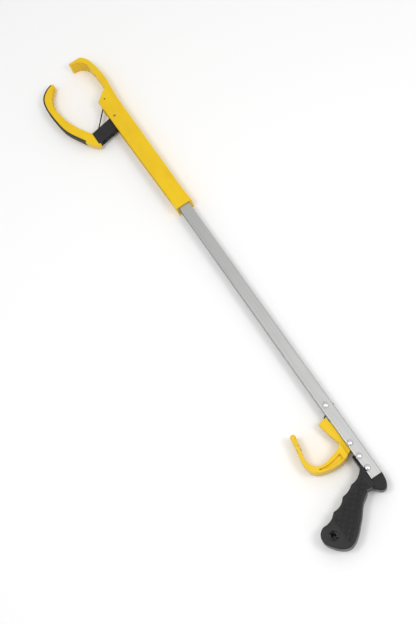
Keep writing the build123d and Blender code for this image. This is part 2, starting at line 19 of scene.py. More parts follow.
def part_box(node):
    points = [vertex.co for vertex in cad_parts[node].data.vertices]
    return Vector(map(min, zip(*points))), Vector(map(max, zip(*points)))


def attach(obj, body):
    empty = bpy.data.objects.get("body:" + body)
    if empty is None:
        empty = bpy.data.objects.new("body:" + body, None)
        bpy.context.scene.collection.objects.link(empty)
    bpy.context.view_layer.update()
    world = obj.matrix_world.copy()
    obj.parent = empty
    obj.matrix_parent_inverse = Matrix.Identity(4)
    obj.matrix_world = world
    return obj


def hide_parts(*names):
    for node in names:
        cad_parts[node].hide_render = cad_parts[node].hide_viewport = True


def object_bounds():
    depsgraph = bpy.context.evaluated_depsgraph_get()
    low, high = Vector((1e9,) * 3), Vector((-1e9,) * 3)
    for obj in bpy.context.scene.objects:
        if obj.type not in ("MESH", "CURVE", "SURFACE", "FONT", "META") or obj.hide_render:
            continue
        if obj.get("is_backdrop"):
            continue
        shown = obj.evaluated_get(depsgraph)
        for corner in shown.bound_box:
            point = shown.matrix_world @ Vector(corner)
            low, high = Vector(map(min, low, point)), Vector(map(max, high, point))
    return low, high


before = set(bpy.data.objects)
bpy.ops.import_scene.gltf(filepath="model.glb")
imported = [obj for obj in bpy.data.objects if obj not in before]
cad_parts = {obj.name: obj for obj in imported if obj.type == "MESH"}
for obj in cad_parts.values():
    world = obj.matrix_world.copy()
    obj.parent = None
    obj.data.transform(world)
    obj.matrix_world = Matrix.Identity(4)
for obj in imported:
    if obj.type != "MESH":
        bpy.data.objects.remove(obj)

MM = 0.001
LOG = logging.getLogger("reacher")
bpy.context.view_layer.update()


class Slot(Enum):
    """The record's material slots."""

    ALUMINIUM = "satin_aluminium"
    YELLOW = "yellow_plastic"
    GRIP = "black_grip_plastic"
    MATTE = "black_matte_plastic"
    RUBBER = "black_rubber"
    CORD = "black_cord"
    RIVET = "rivet_steel"
    ZINC = "zinc_steel"
    SPRING = "spring_steel"


class Body(Enum):
    """The bodies that move as one."""

    FRAME = "frame"
    JAW = "jaw"
    TRIGGER = "trigger"
    CORD = "cord"
    JAW_CORD = "jaw_cord"
    TRIGGER_CORD = "trigger_cord"


# --- shader nodes ------------------------------------------------------------------------------


class Shader:
    """The node tree of one material, with one method for every kind of node."""

    def __init__(self, name: str) -> None:
        """Start an empty material.

        Args:
            name: The material's name.
        """
        self.material = bpy.data.materials.new(name)
        self.material.use_nodes = True
        self.tree = self.material.node_tree
        self.tree.nodes.clear()
        self.surface = self.node("ShaderNodeBsdfPrincipled")
        self.node("ShaderNodeOutputMaterial", Surface=self.surface.outputs["BSDF"])

    def node(self, kind: str, settings: dict | None = None, **sockets: object) -> bpy.types.Node:
        """Add a node.

        Args:
            kind: The node's type.
            settings: Its own settings, set before its sockets.
            sockets: A value or a link for each input, named with _ for a space. in0, in1 and so
                on name an input by its place.

        Returns:
            The new node.
        """
        made = self.tree.nodes.new(kind)
        for key, value in (settings or {}).items():
            setattr(made, key, value)
        for key, value in sockets.items():
            by_place = key.startswith("in") and key[2:].isdigit()
            socket = made.inputs[int(key[2:])] if by_place else made.inputs[key.replace("_", " ")]
            self.feed(socket, value)
        return made

    def feed(self, socket: bpy.types.NodeSocket, value: object) -> None:
        """Link a socket, or set its value.

        Args:
            socket: The input.
            value: A Number, an output socket, or a plain value.
        """
        if isinstance(value, Number):
            value = value.socket
        if isinstance(value, bpy.types.NodeSocket):
            self.tree.links.new(value, socket)
        else:
            socket.default_value = value

    def place(
        self,
        stretch: Sequence[float] = (1, 1, 1),
        turn: float = 0.0,
    ) -> bpy.types.NodeSocket:
        """Object coordinates in millimetres, stretched and turned about Z.

        Args:
            stretch: The scale along X, Y and Z, on top of the millimetres.
            turn: The turn about Z, in radians.

        Returns:
            The vector socket.
        """
        source = self.node("ShaderNodeTexCoord").outputs["Object"]
        scale = [s / MM for s in stretch]
        turned = {"Rotation": (0, 0, turn), "Scale": scale}
        return self.node("ShaderNodeMapping", Vector=source, **turned).outputs[0]

    def noise(self, vector: bpy.types.NodeSocket, size: float, detail: float = 2.0) -> "Number":
        """Soft noise from 0 to 1.

        Args:
            vector: Where it is read.
            size: The size of its lumps, in the vector's units.
            detail: How many finer layers it has.

        Returns:
            The noise.
        """
        made = self.node("ShaderNodeTexNoise", Vector=vector, Scale=1 / size, Detail=detail)
        return Number(self, made.outputs["Fac"])

    def spots(self, vector: bpy.types.NodeSocket, size: float) -> "Number":
        """Distance to the nearest of scattered points, 0 at a point.

        Args:
            vector: Where it is read.
            size: The usual distance between the points.

        Returns:
            The distance, in shares of size.
        """
        made = self.node("ShaderNodeTexVoronoi", Vector=vector, Scale=1 / size)
        return Number(self, made.outputs["Distance"])

    def blend(
        self,
        share: "Number",
        low: Sequence[float],
        high: Sequence[float],
    ) -> bpy.types.NodeSocket:
        """A colour between two colours.

        Args:
            share: 0 gives low and 1 gives high.
            low: Red, green and blue.
            high: Red, green and blue.

        Returns:
            The colour socket.
        """
        settings = {"data_type": "RGBA"}
        low, high = (*low, 1.0), (*high, 1.0)
        return self.node("ShaderNodeMix", settings, in0=share, in6=low, in7=high).outputs[2]

    def bump(self, height: "Number", depth: float) -> None:
        """Add surface relief.

        Args:
            height: The relief, from 0 to 1.
            depth: Its real depth, in metres.
        """
        before = self.surface.inputs["Normal"].links
        sockets = {"Height": height, "Distance": depth, "Strength": 1.0}
        if before:
            sockets["Normal"] = before[0].from_socket
        self.feed(self.surface.inputs["Normal"], self.node("ShaderNodeBump", **sockets).outputs[0])

    def set(self, **sockets: object) -> None:
        """Feed the surface shader's sockets, named with _ for a space."""
        for key, value in sockets.items():
            self.feed(self.surface.inputs[key.replace("_", " ")], value)


class Number:
    """A number carried by a socket. Arithmetic on it adds Math nodes."""

    def __init__(self, shader: Shader, socket: bpy.types.NodeSocket) -> None:
        """Wrap a socket of a shader."""
        self.shader = shader
        self.socket = socket

    def _math(self, operation: str, first: object, second: object, clamp: bool = False) -> "Number":
        """Add a Math node and wrap its result.

        Args:
            operation: The node's operation.
            first: Its first input.
            second: Its second input.
            clamp: Whether the result is held between 0 and 1.

        Returns:
            The result.
        """
        settings = {"operation": operation, "use_clamp": clamp}
        made = self.shader.node("ShaderNodeMath", settings, in0=first, in1=second)
        return Number(self.shader, made.outputs[0])

    def __add__(self, other: object) -> "Number":
        """Self plus other."""
        return self._math("ADD", self, other)

    def __radd__(self, other: object) -> "Number":
        """Other plus self."""
        return self._math("ADD", other, self)

    def __sub__(self, other: object) -> "Number":
        """Self minus other."""
        return self._math("SUBTRACT", self, other)

    def __rsub__(self, other: object) -> "Number":
        """Other minus self."""
        return self._math("SUBTRACT", other, self)

    def __mul__(self, other: object) -> "Number":
        """Self times other."""
        return self._math("MULTIPLY", self, other)

    def __rmul__(self, other: object) -> "Number":
        """Other times self."""
        return self._math("MULTIPLY", other, self)

    def _math_scaled(self, factor: float) -> "Number":
        """Self times a factor, held between 0 and 1."""
        return self._math("MULTIPLY", self, factor, clamp=True)

    def spread(self, low: float, high: float) -> "Number":
        """Stretch low to high over 0 to 1, and hold it there."""
        return self._math("SUBTRACT", self, low)._math_scaled(1 / (high - low))


# --- finishes ----------------------------------------------------------------------------------


@dataclass(frozen=True)
class Moulding:
    """Injection-moulded plastic: a colour with faint flow marks, fine grain and handling marks."""

    name: str
    colour: tuple[float, float, float]
    shade: tuple[float, float, float]
    rough: float
    rough_worn: float
    grain: float
    grain_depth: float
    shine: float = 0.5

    def make(self) -> bpy.types.Material:
        """Build the material.

        Returns:
            The material.
        """
        shader = Shader(self.name)
        where = shader.place()
        flow = shader.noise(shader.place((0.25, 1, 1), 0.1), 9.0, 3)
        cloud = shader.noise(where, 26.0, 2)
        tone = (flow * 0.5 + cloud * 0.5).spread(0.3, 0.7)
        grain = shader.noise(where, self.grain, 3)
        handled = shader.noise(where, 13.0, 4).spread(0.42, 0.72)
        scuffs = shader.noise(shader.place((1, 0.08, 1), 0.7), 1.6, 2).spread(0.66, 0.82)
        rough = self.rough + handled * (self.rough_worn - self.rough)
        rough = rough + scuffs * 0.16 + grain * 0.03
        shader.set(Base_Color=shader.blend(tone, self.shade, self.colour), Roughness=rough)
        shader.set(Specular_IOR_Level=self.shine)
        shader.bump(grain, self.grain_depth)
        return shader.material


@dataclass(frozen=True)
class ExtrudedMetal:
    """Extruded aluminium: satin, with fine die lines along X and a few handling marks."""

    name: str
    colour: tuple[float, float, float]
    shade: tuple[float, float, float]
    rough: float

    def make(self) -> bpy.types.Material:
        """Build the material.

        Returns:
            The material.
        """
        shader = Shader(self.name)
        lines = shader.noise(shader.place((0.004, 1, 1)), 0.22, 3)
        wide = shader.noise(shader.place((0.012, 1, 1)), 1.4, 2)
        marks = shader.noise(shader.place(), 17.0, 4).spread(0.4, 0.75)
        nicks = 1 - shader.spots(shader.place((0.35, 1, 1), 0.5), 7.0).spread(0.015, 0.05)
        tone = (lines * 0.45 + wide * 0.55).spread(0.33, 0.67)
        shader.set(Base_Color=shader.blend(tone, self.shade, self.colour), Metallic=1.0)
        shader.set(Roughness=self.rough + marks * 0.07 + lines * 0.06 + nicks * 0.05)
        shader.bump(lines, 0.006 * MM)
        shader.bump(1 - nicks, 0.02 * MM)
        return shader.material


@dataclass(frozen=True)
class PlatedSteel:
    """Plated or drawn steel: bright, with cloudy plating and fine scratches."""

    name: str
    colour: tuple[float, float, float]
    shade: tuple[float, float, float]
    rough: float
    cloud: float

    def make(self) -> bpy.types.Material:
        """Build the material.

        Returns:
            The material.
        """
        shader = Shader(self.name)
        where = shader.place()
        cloud = shader.noise(where, self.cloud, 3).spread(0.35, 0.7)
        scratch = shader.noise(shader.place((1, 0.05, 1), 0.9), 0.3, 2).spread(0.6, 0.75)
        shader.set(Base_Color=shader.blend(cloud, self.shade, self.colour), Metallic=1.0)
        shader.set(Roughness=self.rough + cloud * 0.06 + scratch * 0.1)
        shader.bump(scratch, 0.004 * MM)
        return shader.material


@dataclass(frozen=True)
class Rubbery:
    """Matte rubber strip with a fine leathery grain."""

    name: str
    colour: tuple[float, float, float]
    shade: tuple[float, float, float]

    def make(self) -> bpy.types.Material:
        """Build the material.

        Returns:
            The material.
        """
        shader = Shader(self.name)
        where = shader.place()
        pores = shader.spots(where, 0.55)
        dust = shader.noise(where, 6.0, 4).spread(0.45, 0.75)
        colour = shader.blend(dust, self.colour, self.shade)
        shader.set(Base_Color=colour, Roughness=0.62 + dust * 0.16)
        shader.bump(pores, 0.03 * MM)
        return shader.material


@dataclass(frozen=True)
class Braid:
    """Black polyester cord: fibres along each strand, with a little sheen."""

    name: str
    colour: tuple[float, float, float]
    shade: tuple[float, float, float]

    def make(self) -> bpy.types.Material:
        """Build the material.

        Returns:
            The material.
        """
        shader = Shader(self.name)
        fibres = shader.noise(shader.place(), 0.12, 2)
        worn = shader.noise(shader.place(), 3.0, 3).spread(0.4, 0.7)
        colour = shader.blend(worn, self.colour, self.shade)
        shader.set(Base_Color=colour, Roughness=0.6 + fibres * 0.25)
        shader.set(Sheen_Weight=0.25, Sheen_Roughness=0.4)
        shader.bump(fibres, 0.03 * MM)
        return shader.material


@dataclass(frozen=True)
class Backdrop:
    """The pale floor."""

    name: str
    colour: tuple[float, float, float]

    def make(self) -> bpy.types.Material:
        """Build the material.

        Returns:
            The material.
        """
        shader = Shader(self.name)
        shader.set(Base_Color=(*self.colour, 1.0), Roughness=0.9)
        return shader.material


FINISHES: dict[Slot, Moulding | ExtrudedMetal | PlatedSteel | Rubbery | Braid] = {
    Slot.ALUMINIUM: ExtrudedMetal("aluminium", (0.55, 0.55, 0.545), (0.45, 0.45, 0.45), 0.38),
    Slot.YELLOW: Moulding(
        "yellow", (0.84, 0.555, 0.0), (0.76, 0.48, 0.0), 0.3, 0.42, 0.5, 0.012 * MM, shine=0.4
    ),
    Slot.GRIP: Moulding(
        "grip black", (0.009, 0.009, 0.0095), (0.005, 0.005, 0.005),
        0.3, 0.42, 0.45, 0.012 * MM, shine=0.35,
    ),
    Slot.MATTE: Moulding(
        "matte black", (0.018, 0.017, 0.018), (0.011, 0.011, 0.012),
        0.55, 0.65, 0.35, 0.02 * MM, shine=0.35,
    ),
    Slot.RUBBER: Rubbery("rubber", (0.022, 0.022, 0.023), (0.036, 0.036, 0.038)),
    Slot.CORD: Braid("cord", (0.012, 0.012, 0.013), (0.028, 0.028, 0.03)),
    Slot.RIVET: PlatedSteel("rivet steel", (0.8, 0.8, 0.79), (0.7, 0.7, 0.7), 0.16, 3.0),
    # The zinc colours are darkened as painted shade, standing for the shade in the hinge pin's
    # recess; the screws, washers and bush that share this finish get the same darkened colour.
    Slot.ZINC: PlatedSteel("zinc steel", (0.4, 0.39, 0.36), (0.28, 0.27, 0.26), 0.34, 2.0),
    Slot.SPRING: PlatedSteel("spring steel", (0.34, 0.33, 0.33), (0.22, 0.22, 0.23), 0.28, 1.5),
}


class Paints:
    """Makes each finish's material once and hands it out."""

    def __init__(self) -> None:
        """Start with no material made."""
        self._made: dict[Slot, bpy.types.Material] = {}

    def of(self, slot: Slot) -> bpy.types.Material:
        """The material of a slot.

        Args:
            slot: The slot.

        Returns:
            Its material.
        """
        if slot not in self._made:
            self._made[slot] = FINISHES[slot].make()
        return self._made[slot]


# --- shaping -----------------------------------------------------------------------------------

WidthAt = Callable[[Vector, Vector], float]
UPRIGHT = 0.1
CROWDED = 0.05 * MM
CROWD = 100
SAME_SPOT = 0.0002 * MM
SUNK_BY = 0.005 * MM
FLAT_ANGLE = math.radians(0.02)
SHARP_ANGLE = math.radians(38)


def crowded(vert: bmesh.types.BMVert) -> bool:
    """Whether a vertex has a neighbour almost on top of it."""
    return any(edge.calc_length() < CROWDED for edge in vert.link_edges)


def thin_out_walls(bm: bmesh.types.BMesh) -> None:
    """Clear the vertices that crowd together on the upright walls.

    Args:
        bm: The mesh.
    """
    bm.normal_update()
    spare = [
        vert
        for vert in bm.verts
        if crowded(vert) and all(abs(face.normal.z) < UPRIGHT for face in vert.link_faces)
    ]
    if len(spare) > CROWD:
        bmesh.ops.dissolve_verts(bm, verts=spare)
        rest = [vert for vert in bm.verts if crowded(vert)]
        bmesh.ops.remove_doubles(bm, verts=rest, dist=CROWDED)


def copy_of_node(node: str) -> bmesh.types.BMesh:
    """A merged copy of a CAD node, its flat faces made whole.

    Args:
        node: The node's name.

    Returns:
        The copy.
    """
    bm = bmesh.new()
    bm.from_mesh(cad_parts[node].data)
    bmesh.ops.remove_doubles(bm, verts=bm.verts, dist=SAME_SPOT)
    thin_out_walls(bm)
    bm.normal_update()
    low, high = box_of(node)

    def sunk(face: bmesh.types.BMFace) -> bool:
        """Whether a face lies flat but below the node's two flat sides."""
        height = face.calc_center_median().z
        return abs(face.normal.z) > 0.999 and min(height - low.z, high.z - height) > SUNK_BY

    joined = [edge for edge in bm.edges if not any(sunk(face) for face in edge.link_faces)]
    bmesh.ops.dissolve_limit(bm, angle_limit=FLAT_ANGLE, verts=bm.verts, edges=joined)
    return bm


def outer_walls(
    bm: bmesh.types.BMesh,
    middle: float,
    half: float,
    depth: float,
) -> list[bmesh.types.BMFace]:
    """The upright faces that run from a flat side down past a depth.

    Args:
        bm: The mesh.
        middle: The height midway between the two flat sides.
        half: Half the distance between the sides.
        depth: How far down a wall has to reach.

    Returns:
        Those faces.
    """
    found = []
    for face in bm.faces:
        heights = [vert.co.z - middle for vert in face.verts]
        upright = abs(face.normal.z) < UPRIGHT
        for side in (1, -1):
            top = max(side * height for height in heights)
            foot = min(side * height for height in heights)
            if upright and abs(top - half) < 0.02 * MM and foot < half - depth + 0.01 * MM:
                found.append(face)
                break
    return found


def round_rims(
    bm: bmesh.types.BMesh,
    middle: float,
    half: float,
    widest: float,
    width_at: WidthAt | None = None,
    steps: int = 5,
    reach: float | None = None,
) -> None:
    """Round the rims where upright walls meet the two flat sides of a plate.

    Args:
        bm: The mesh.
        middle: The height midway between the two flat sides.
        half: Half the distance between the sides.
        widest: The greatest radius of the rounding.
        width_at: The radius at a point of a wall that faces a way, where it isn't widest.
        steps: The steps of the quarter round.
        reach: How far down a wall has to go, where it isn't just widest.
    """
    bm.normal_update()
    mark = bm.faces.layers.int.get("wall") or bm.faces.layers.int.new("wall")
    for face in bm.faces:
        face[mark] = 0
    found = outer_walls(bm, middle, half, reach or widest)
    if not found:
        return
    for face in found:
        face[mark] = 1
    facing = WallFacing(found)
    depths = [widest * (1 - math.cos(math.pi / 2 * step / steps)) for step in range(1, steps + 1)]
    for depth in depths:
        for side in (1, -1):
            walls = [face for face in bm.faces if face[mark]]
            rim = {part for face in walls for part in (face, *face.verts, *face.edges)}
            height = middle + side * (half - depth)
            cut = {"plane_co": (0, 0, height), "plane_no": (0, 0, 1), "dist": 0.001 * MM}
            bmesh.ops.bisect_plane(bm, geom=list(rim), **cut)

    def even_width(point: Vector, outward: Vector) -> float:
        """The widest radius, everywhere."""
        return widest

    pull_in_rims(bm, mark, facing, middle, half, width_at or even_width)


class WallFacing:
    """Which way the upright walls near a point face, seen from above."""

    spacing = 0.15 * MM
    nearby = 0.45 * MM

    def __init__(self, walls: Sequence[bmesh.types.BMFace]) -> None:
        """Note the walls' directions at even steps along them.

        Args:
            walls: The upright faces.
        """
        self.normals: list[Vector] = []
        spots: list[Vector] = []
        for face in walls:
            across = sorted((vert.co.xy for vert in face.verts), key=Vector((1.0, 0.618)).dot)
            start, end = across[0], across[-1]
            count = max(1, round((end - start).length / self.spacing))
            if (end - start).length > self.spacing / 3:
                for step in range(count):
                    spots.append(start.lerp(end, (step + 0.5) / count))
                    self.normals.append(face.normal.xy.normalized())
        self.tree = KDTree(len(spots))
        for index, spot in enumerate(spots):
            self.tree.insert((*spot, 0.0), index)
        self.tree.balance()

    def outward(self, point: Vector) -> tuple[Vector, float]:
        """The mean direction of the walls round a point.

        Args:
            point: The point.

        Returns:
            The unit direction, and the cosine of half the corner that they make.
        """
        spot = (point.x, point.y, 0.0)
        near = self.tree.find_range(spot, self.nearby) or [self.tree.find(spot)]
        mean = sum((self.normals[index] for _, index, _ in near), Vector((0.0, 0.0))) / len(near)
        return mean.normalized(), max(mean.length, 0.7)


def pull_in_rims(
    bm: bmesh.types.BMesh,
    mark: bmesh.types.BMLayerItem,
    facing: WallFacing,
    middle: float,
    half: float,
    width_at: WidthAt,
) -> None:
    """Draw the marked walls inwards near the flat sides, along a quarter round.

    Args:
        bm: The mesh, its walls already cut into bands.
        mark: The face layer that marks the walls.
        facing: The way that the walls face.
        middle: The height midway between the two flat sides.
        half: Half the distance between the sides.
        width_at: The radius at a point of a wall that faces a way.
    """
    moves = {}
    for vert in {vert for face in bm.faces if face[mark] for vert in face.verts}:
        outward, mitre = facing.outward(vert.co)
        width = width_at(vert.co, outward)
        depth = half - abs(vert.co.z - middle)
        if depth < width:
            inward = width - math.sqrt(max(0.0, width**2 - (width - depth) ** 2))
            moves[vert] = outward * (inward / mitre)
    for vert, move in moves.items():
        vert.co.xy -= move


def finish_piece(
    name: str,
    bm: bmesh.types.BMesh,
    body: Body,
    slot: Slot,
    paints: Paints,
    stands_for: Sequence[str] = (),
) -> bpy.types.Object:
    """Turn a mesh into a finished piece.

    Args:
        name: The piece's name.
        bm: Its shape, in the row frame, which is freed.
        body: The body it rides on.
        slot: Its material slot.
        paints: The materials.
        stands_for: The CAD nodes it replaces.

    Returns:
        The piece.
    """
    mesh = bpy.data.meshes.new(name)
    bm.to_mesh(mesh)
    bm.free()
    mesh.shade_smooth()
    mesh.set_sharp_from_angle(angle=SHARP_ANGLE)
    piece = bpy.data.objects.new(name, mesh)
    bpy.context.scene.collection.objects.link(piece)
    mesh.materials.append(paints.of(slot))
    normals = piece.modifiers.new("normals", "WEIGHTED_NORMAL")
    normals.keep_sharp = True
    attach(piece, body.value)
    if stands_for:
        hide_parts(*stands_for)
    LOG.info("%s: %d faces on %s", name, len(mesh.polygons), body.value)
    return piece


def paint_node(node: str, slot: Slot, paints: Paints) -> None:
    """Give a CAD node its material.

    Args:
        node: The node's name.
        slot: Its material slot.
        paints: The materials.
    """
    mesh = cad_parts[node].data
    mesh.materials.clear()
    mesh.materials.append(paints.of(slot))
    LOG.info("%s: CAD node in %s", node, slot.value)


def spun(
    profile: Sequence[tuple[float, float]],
    centre: Vector,
    steps: int = 48,
) -> bmesh.types.BMesh:
    """A turned shape about a line along Z.

    Args:
        profile: Radius and height pairs, from one end of the line to the other.
        centre: A point of the line, at height zero.
        steps: The steps of a full turn.

    Returns:
        The shape.
    """
    bm = bmesh.new()
    verts = [bm.verts.new((radius, 0.0, height)) for radius, height in profile]
    edges = [bm.edges.new(pair) for pair in zip(verts, verts[1:])]
    turn = {"angle": math.tau, "steps": steps, "use_merge": True}
    bmesh.ops.spin(bm, geom=verts + edges, axis=(0, 0, 1), cent=(0, 0, 0), **turn)
    bmesh.ops.remove_doubles(bm, verts=bm.verts, dist=0.001 * MM)
    bmesh.ops.dissolve_degenerate(bm, edges=bm.edges, dist=0.0005 * MM)
    bmesh.ops.recalc_face_normals(bm, faces=bm.faces)
    bmesh.ops.translate(bm, verts=bm.verts, vec=centre)
    return bm


def arc(
    centre: tuple[float, float],
    radius: float,
    start: float,
    end: float,
    steps: int,
) -> list[tuple]:
    """Points of an arc in a profile, angles in degrees."""
    turns = (math.radians(start + (end - start) * i / steps) for i in range(steps + 1))
    return [(centre[0] + radius * math.cos(a), centre[1] + radius * math.sin(a)) for a in turns]


def join_into(
    target: bmesh.types.BMesh,
    source: bmesh.types.BMesh,
    place: Matrix | None = None,
) -> None:
    """Add a copy of one mesh to another.

    Args:
        target: The mesh that grows.
        source: The mesh that is copied.
        place: Where the copy goes.
    """
    mesh = bpy.data.meshes.new("copied")
    source.to_mesh(mesh)
    if place:
        mesh.transform(place)
    target.from_mesh(mesh)
    bpy.data.meshes.remove(mesh)


def round_strands(
    paths: Sequence[Sequence[Vector]],
    radius: float,
    fineness: int,
) -> bmesh.types.BMesh:
    """Round strands along lines of points.

    Args:
        paths: The points that each strand follows.
        radius: The strands' radius.
        fineness: 0 gives a four-sided section, and each step more gives two more sides.

    Returns:
        The strands.
    """
    curve = bpy.data.curves.new("strand", "CURVE")
    curve.dimensions = "3D"
    curve.bevel_depth = radius
    curve.bevel_resolution = fineness
    curve.use_fill_caps = True
    for points in paths:
        spline = curve.splines.new("POLY")
        spline.points.add(len(points) - 1)
        for target, point in zip(spline.points, points):
            target.co = (*point, 1.0)
    bm = mesh_of_curve(curve)
    bmesh.ops.remove_doubles(bm, verts=bm.verts, dist=0.0005 * MM)
    bmesh.ops.recalc_face_normals(bm, faces=bm.faces)
    return bm


def mesh_of_curve(curve: bpy.types.Curve) -> bmesh.types.BMesh:
    """A curve's mesh.

    Args:
        curve: The curve, which is removed.

    Returns:
        Its mesh.
    """
    holder = bpy.data.objects.new("strand", curve)
    mesh = bpy.data.meshes.new_from_object(holder)
    bm = bmesh.new()
    bm.from_mesh(mesh)
    bpy.data.objects.remove(holder)
    bpy.data.curves.remove(curve)
    bpy.data.meshes.remove(mesh)
    return bm


def smooth_line(points: Sequence[Vector], steps: int = 10) -> list[Vector]:
    """Points along a smooth spline that is pulled by its control points.

    Args:
        points: The control points.
        steps: The points read between two control points.

    Returns:
        The points along the spline.
    """
    curve = bpy.data.curves.new("line", "CURVE")
    curve.dimensions = "3D"
    spline = curve.splines.new("NURBS")
    spline.points.add(len(points) - 1)
    for target, point in zip(spline.points, points):
        target.co = (*point, 1.0)
    spline.order_u = 3
    spline.use_endpoint_u = True
    spline.resolution_u = steps
    bm = mesh_of_curve(curve)
    bm.verts.ensure_lookup_table()
    line = [vert.co.copy() for vert in bm.verts]
    bm.free()
    return line


def even_line(points: Sequence[Vector], step: float) -> list[Vector]:
    """The same line with its points an even step apart.

    Args:
        points: The line.
        step: About how far apart the new points are.

    Returns:
        The new points.
    """
    reach = [0.0]
    for before, after in zip(points, points[1:]):
        reach.append(reach[-1] + (after - before).length)
    count = max(2, round(reach[-1] / step))
    evened, index = [], 0
    for number in range(count + 1):
        target = reach[-1] * number / count
        while index < len(points) - 2 and reach[index + 1] < target:
            index += 1
        span = reach[index + 1] - reach[index]
        share = (target - reach[index]) / span if span else 0.0
        evened.append(points[index].lerp(points[index + 1], share))
    return evened


def box_of(node: str) -> tuple[Vector, Vector]:
    """A CAD node's lowest and highest corners."""
    low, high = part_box(node)
    return Vector(low), Vector(high)


def middle_of(node: str) -> Vector:
    """The middle of a CAD node's box."""
    low, high = box_of(node)
    return (low + high) / 2


# --- sub-assemblies ----------------------------------------------------------------------------


@dataclass
class Shaft:
    """The aluminium channel with its domed rivets and the pieces on them."""

    paints: Paints
    head_radius: float = 4.3 * MM
    head_height: float = 2.1 * MM
    foot_height: float = 0.25 * MM
    shank: float = 2.0 * MM
    edge_inset: float = 0.15 * MM
    edge_rise: float = 0.12 * MM
    hidden: dict[str, Slot] = field(
        default_factory=lambda: {
            "rear_guide_spacer": Slot.MATTE,
            "trigger_pivot_bush": Slot.ZINC,
            "trigger_washers": Slot.ZINC,
        }
    )

    def build(self) -> None:
        """Make the channel and its rivets."""
        paint_node("shaft_channel", Slot.ALUMINIUM, self.paints)
        for node, places in self.rivets().items():
            self.rivet(node, places)
        for node, slot in self.hidden.items():
            paint_node(node, slot, self.paints)

    def rivets(self) -> dict[str, list[Vector]]:
        """The rivets' nodes.

        Returns:
            The middle of each rivet, by node.
        """
        low, high = box_of("grip_rivets")
        inset = self.head_radius
        middle = (low + high) / 2
        pair = [Vector((x, middle.y, middle.z)) for x in (low.x + inset, high.x - inset)]
        single = ("rear_guide_rivet", "trigger_pivot_rivet")
        return {**{node: [middle_of(node)] for node in single}, "grip_rivets": pair}

    def rivet(self, node: str, places: Sequence[Vector]) -> None:
        """Rivets with a domed head on each side of the channel.

        Args:
            node: The CAD node that they replace.
            places: The middle of each rivet.
        """
        low, high = box_of(node)
        top = (high.z - low.z) / 2
        foot = top - self.head_height
        rise = self.head_height - self.foot_height
        ball = (self.head_radius**2 + rise**2) / (2 * rise)
        open_angle = math.degrees(math.asin(self.head_radius / ball))
        dome = arc((0, top - ball), ball, 90 - open_angle, 90, 12)
        side = [(self.shank, 0), (self.shank, foot), (self.head_radius - self.edge_inset, foot)]
        side += [(self.head_radius, foot + self.edge_rise)] + dome
        mirrored = [(radius, -height) for radius, height in reversed(side)]
        whole = bmesh.new()
        for place in places:
            one = spun(mirrored + side[1:], place)
            join_into(whole, one)
            one.free()
        finish_piece(f"{node}_domed", whole, Body.FRAME, Slot.RIVET, self.paints, [node])


@dataclass
class Head:
    """The sleeve with its cheeks and fixed jaw, its pins, screws, spring and washers."""

    paints: Paints
    rim: float = 1.5 * MM
    small: float = 0.3 * MM
    teeth_end: float = 8 * MM
    fade: float = 12 * MM
    mouth_end: float = 74 * MM
    pin_rim: float = 0.35 * MM

    def build(self) -> None:
        """Make the head's pieces."""
        self.moulding()
        # The hinge pin's dark zinc colour is painted shade for its recess, not the plating's own
        # colour.
        self.pin("jaw_hinge_pin", Slot.ZINC)
        self.pin("cord_guide_pin", Slot.MATTE)
        paint_node("head_fixing_screws", Slot.ZINC, self.paints)
        paint_node("jaw_return_spring", Slot.SPRING, self.paints)
        paint_node("jaw_hinge_washers", Slot.ZINC, self.paints)

    def moulding(self) -> None:
        """The yellow moulding with its outer rims rounded."""
        bm = copy_of_node("fixed_jaw_head")
        low, high = box_of("fixed_jaw_head")

        def width_at(point: Vector, outward: Vector) -> float:
            """The rims' radius, which fades towards the tip and the sleeve's mouth."""
            along = point.x - low.x
            if self.near_pin(point):
                return 0.0
            if along < self.mouth_end and outward.y < 0.5:
                return self.small
            from_end = high.x - point.x
            fade = min(1.0, max(0.0, (along - self.teeth_end) / self.fade))
            return min(self.small + (self.rim - self.small) * fade, max(from_end, 0.0) + self.small)

        round_rims(bm, (low.z + high.z) / 2, (high.z - low.z) / 2, self.rim, width_at)
        finish_piece("head_moulding", bm, Body.FRAME, Slot.YELLOW, self.paints, ["fixed_jaw_head"])

    def near_pin(self, point: Vector) -> bool:
        """Whether a point is at the edge of a pin's hole."""
        pins = (middle_of("jaw_hinge_pin"), middle_of("cord_guide_pin"))
        return any((point.xy - pin.xy).length < 3 * MM for pin in pins)

    def pin(self, node: str, slot: Slot) -> None:
        """A pin across the cheeks with its ends rounded off.

        Args:
            node: The CAD node that it replaces.
            slot: Its material slot.
        """
        low, high = box_of(node)
        bm = copy_of_node(node)
        half = (high.z - low.z) / 2
        round_rims(bm, low.z + half, half, self.pin_rim, steps=3)
        finish_piece(f"{node}_turned", bm, Body.FRAME, slot, self.paints, [node])


@dataclass
class MovingJaw:
    """The arm, the curved lower jaw, its outer pad and its screw."""

    paints: Paints
    rim: float = 0.8 * MM
    small: float = 0.2 * MM
    teeth_end: float = 60 * MM
    tip: float = 5 * MM

    def build(self) -> None:
        """Make the moving jaw's pieces."""
        self.softened("moving_jaw", Slot.YELLOW, self.rim)
        self.softened("jaw_outer_pad", Slot.RUBBER, 0.5 * MM)
        self.softened("jaw_arm", Slot.MATTE, 0.5 * MM)
        paint_node("jaw_fixing_screw", Slot.ZINC, self.paints)

    def softened(self, node: str, slot: Slot, width: float) -> None:
        """A moulding with its side rims rounded.

        Args:
            node: The CAD node that it replaces.
            slot: Its material slot.
            width: The rims' rounding.
        """
        bm = copy_of_node(node)
        low, high = box_of(node)

        def width_at(point: Vector, outward: Vector) -> float:
            """The rims' radius, which is small along the teeth and at the tip."""
            along = point.x - low.x
            toothed = along < self.teeth_end and (outward.y > 0.0 or outward.x > 0.3)
            return min(width, self.small) if toothed or along < self.tip else width

        round_rims(bm, (low.z + high.z) / 2, (high.z - low.z) / 2, width, width_at, 4)
        finish_piece(f"{node}_moulded", bm, Body.JAW, slot, self.paints, [node])


